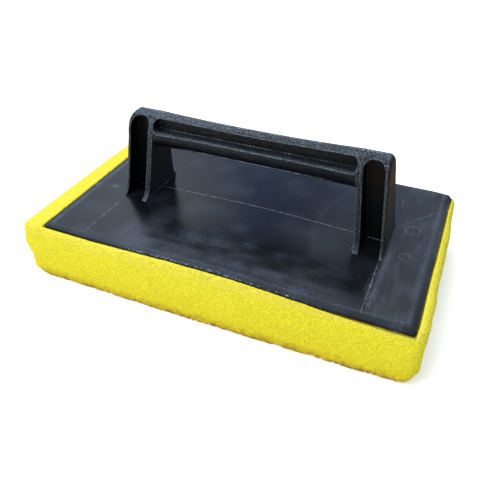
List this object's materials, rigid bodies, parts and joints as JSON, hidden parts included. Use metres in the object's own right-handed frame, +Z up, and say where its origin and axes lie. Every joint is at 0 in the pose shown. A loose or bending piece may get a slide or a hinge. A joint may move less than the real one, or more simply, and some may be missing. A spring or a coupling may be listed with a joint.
{
  "type": "foam sponge brush",
  "caption": "Hand sponge pad: a rectangular moulded plate with a bridge handle standing on it, and a thick open-cell foam block bonded under it.",
  "frame": {"origin": "centre of the foam's underside, the working face, which the tool rests on", "axes": "+X along the length of the plate and of the grip, +Y to the back, +Z up through the handle"},
  "size_m": [0.27, 0.154, 0.105],
  "materials": {
    "black_plastic": "satin",
    "adhesive": "satin",
    "yellow_foam": "matte"
  },
  "bodies": {
    "handle": {"handle_plate": "black_plastic", "bond_film": "adhesive"},
    "foam": {"foam_block": "yellow_foam"}
  },
  "joints": [
    {"name": "foam_compression", "type": "slide", "parent": "handle", "child": "foam", "axis": [0, 0, 1], "range_m": [0, 0.012], "stiffness_N_per_m": 10000, "deforming": ["foam_block"]}
  ]
}
